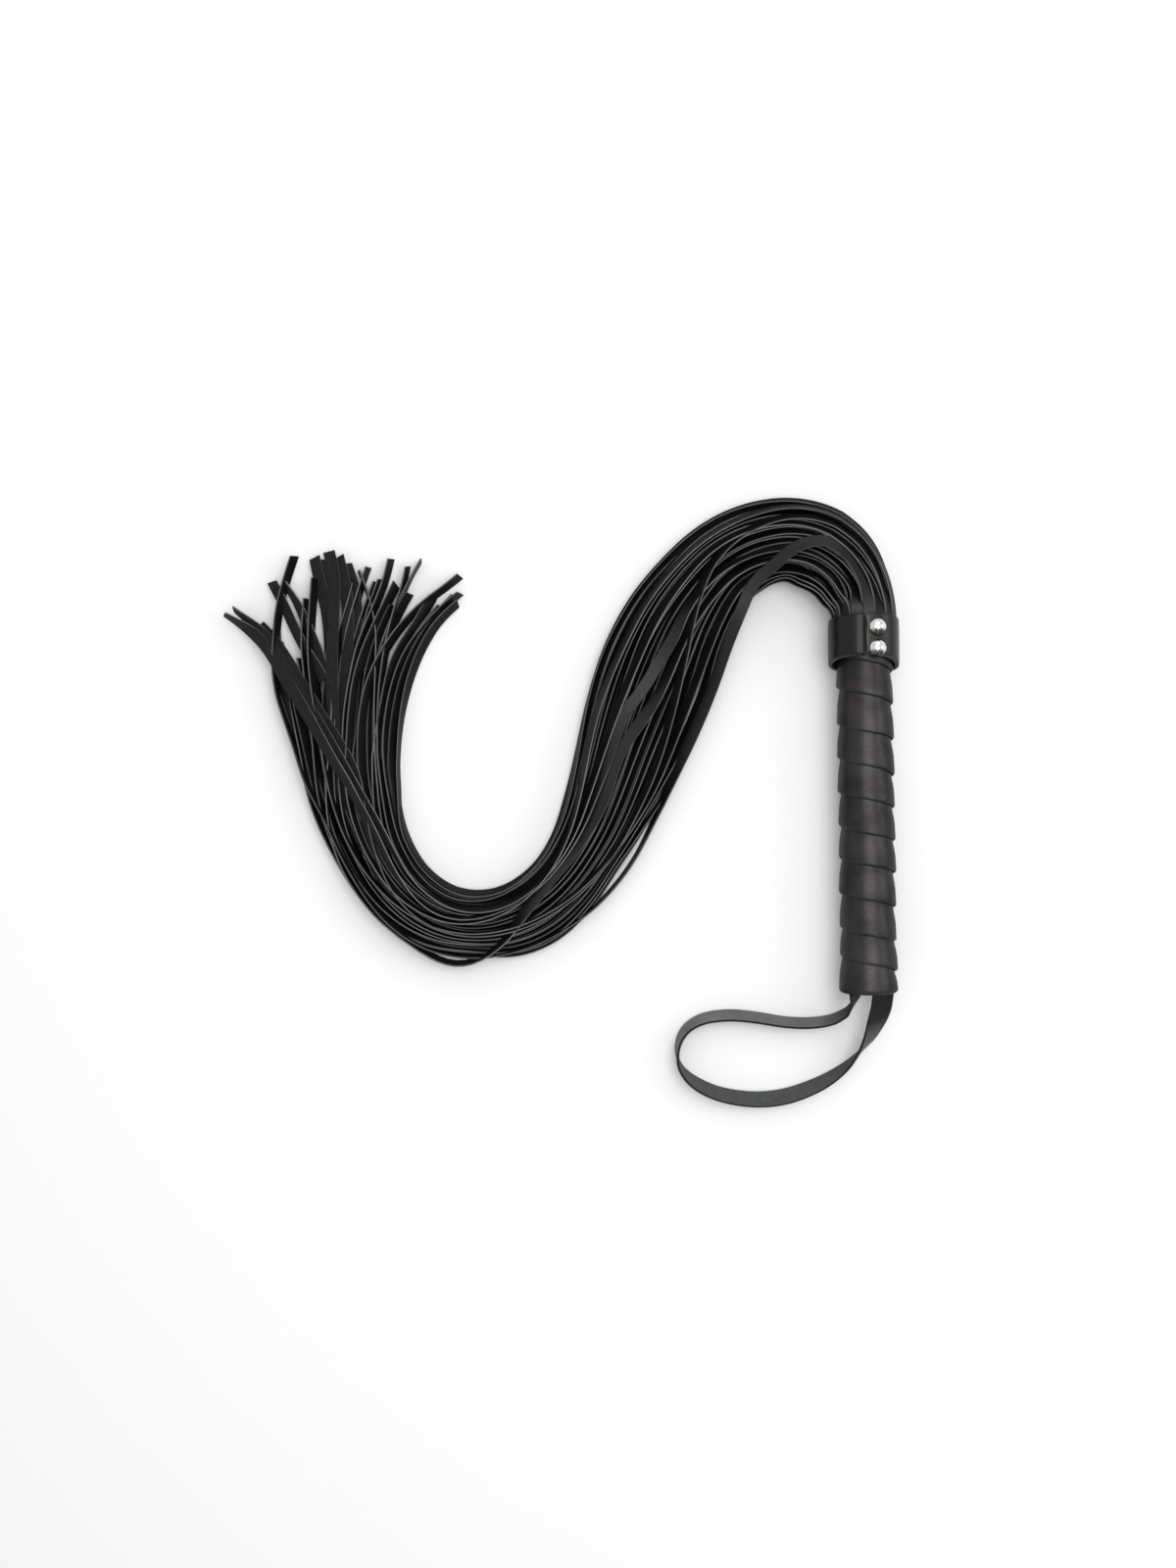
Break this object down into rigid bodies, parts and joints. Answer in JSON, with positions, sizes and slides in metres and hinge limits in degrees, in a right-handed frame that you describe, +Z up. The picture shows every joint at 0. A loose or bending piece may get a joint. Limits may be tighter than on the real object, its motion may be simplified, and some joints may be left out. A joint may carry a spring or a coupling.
{
  "type": "short-handled multi-tail whip",
  "caption": "Short whip lying in an S: spiral-wrapped straight grip, riveted collar, flat wrist loop, and a sheaf of long narrow flat leather tails that fan out at their tips.",
  "frame": {"origin": "on the grip's axis at its butt end", "axes": "+Y along the grip towards the tails, +X to the right of the grip, +Z up from the surface the whip lies on"},
  "size_m": [0.32, 0.2958, 0.036],
  "materials": {
    "core_wood": "turned plain wood, unfinished",
    "wrap_leather": "smooth soft black leather with a satin sheen",
    "collar_leather": "smooth black leather with grey cut edges",
    "tail_leather": "thin black leather, satin face, matt back, dark grey cut edges",
    "strap_leather": "flat black strap, satin face and matt fabric-like back",
    "nickel": "polished nickel plate",
    "rivet_steel": "plated steel",
    "tack_steel": "blued steel"
  },
  "bodies": {
    "handle": {"handle_core": "core_wood", "grip_wrap": "wrap_leather", "collar_strap": "collar_leather", "rivet_cap_upper": "nickel", "rivet_cap_lower": "nickel", "rivet_post_upper": "rivet_steel", "rivet_post_lower": "rivet_steel", "root_band_inner": "tail_leather", "root_band_middle": "tail_leather", "root_band_outer": "tail_leather", "root_tack_left": "tack_steel", "root_tack_under": "tack_steel", "strap_end_left": "strap_leather", "strap_end_right": "strap_leather", "strap_tack_left": "tack_steel", "strap_tack_right": "tack_steel"},
    "lower_tails": {"tail_01": "tail_leather", "tail_02": "tail_leather", "tail_03": "tail_leather", "tail_04": "tail_leather", "tail_05": "tail_leather", "tail_06": "tail_leather", "tail_07": "tail_leather", "tail_08": "tail_leather", "tail_09": "tail_leather", "tail_10": "tail_leather", "tail_11": "tail_leather", "tail_12": "tail_leather", "tail_13": "tail_leather", "tail_14": "tail_leather"},
    "middle_tails": {"tail_15": "tail_leather", "tail_16": "tail_leather", "tail_17": "tail_leather", "tail_18": "tail_leather", "tail_19": "tail_leather", "tail_20": "tail_leather", "tail_21": "tail_leather", "tail_22": "tail_leather", "tail_23": "tail_leather", "tail_24": "tail_leather", "tail_25": "tail_leather", "tail_26": "tail_leather", "tail_27": "tail_leather", "tail_28": "tail_leather", "tail_29": "tail_leather"},
    "upper_tails": {"tail_30": "tail_leather", "tail_31": "tail_leather", "tail_32": "tail_leather", "tail_33": "tail_leather", "tail_34": "tail_leather", "tail_35": "tail_leather", "tail_36": "tail_leather"},
    "wrist_loop": {"wrist_loop": "strap_leather"}
  },
  "joints": [
    {"name": "tails_roll", "type": "hinge", "parent": "handle", "child": "lower_tails", "pos_m": [0, 0.1838, 0], "axis": [0, 1, 0], "range_deg": [-90, 90]},
    {"name": "middle_tails_lift", "type": "hinge", "parent": "lower_tails", "child": "middle_tails", "pos_m": [0.0152, 0.1838, -0.003], "axis": [0, 1, 0], "range_deg": [0, 30]},
    {"name": "upper_tails_lift", "type": "hinge", "parent": "middle_tails", "child": "upper_tails", "pos_m": [0.0152, 0.1838, 0.003], "axis": [0, 1, 0], "range_deg": [0, 30]},
    {"name": "wrist_loop_swing", "type": "hinge", "parent": "handle", "child": "wrist_loop", "pos_m": [0, -0.001, 0], "axis": [1, 0, 0], "range_deg": [-70, 30]}
  ]
}
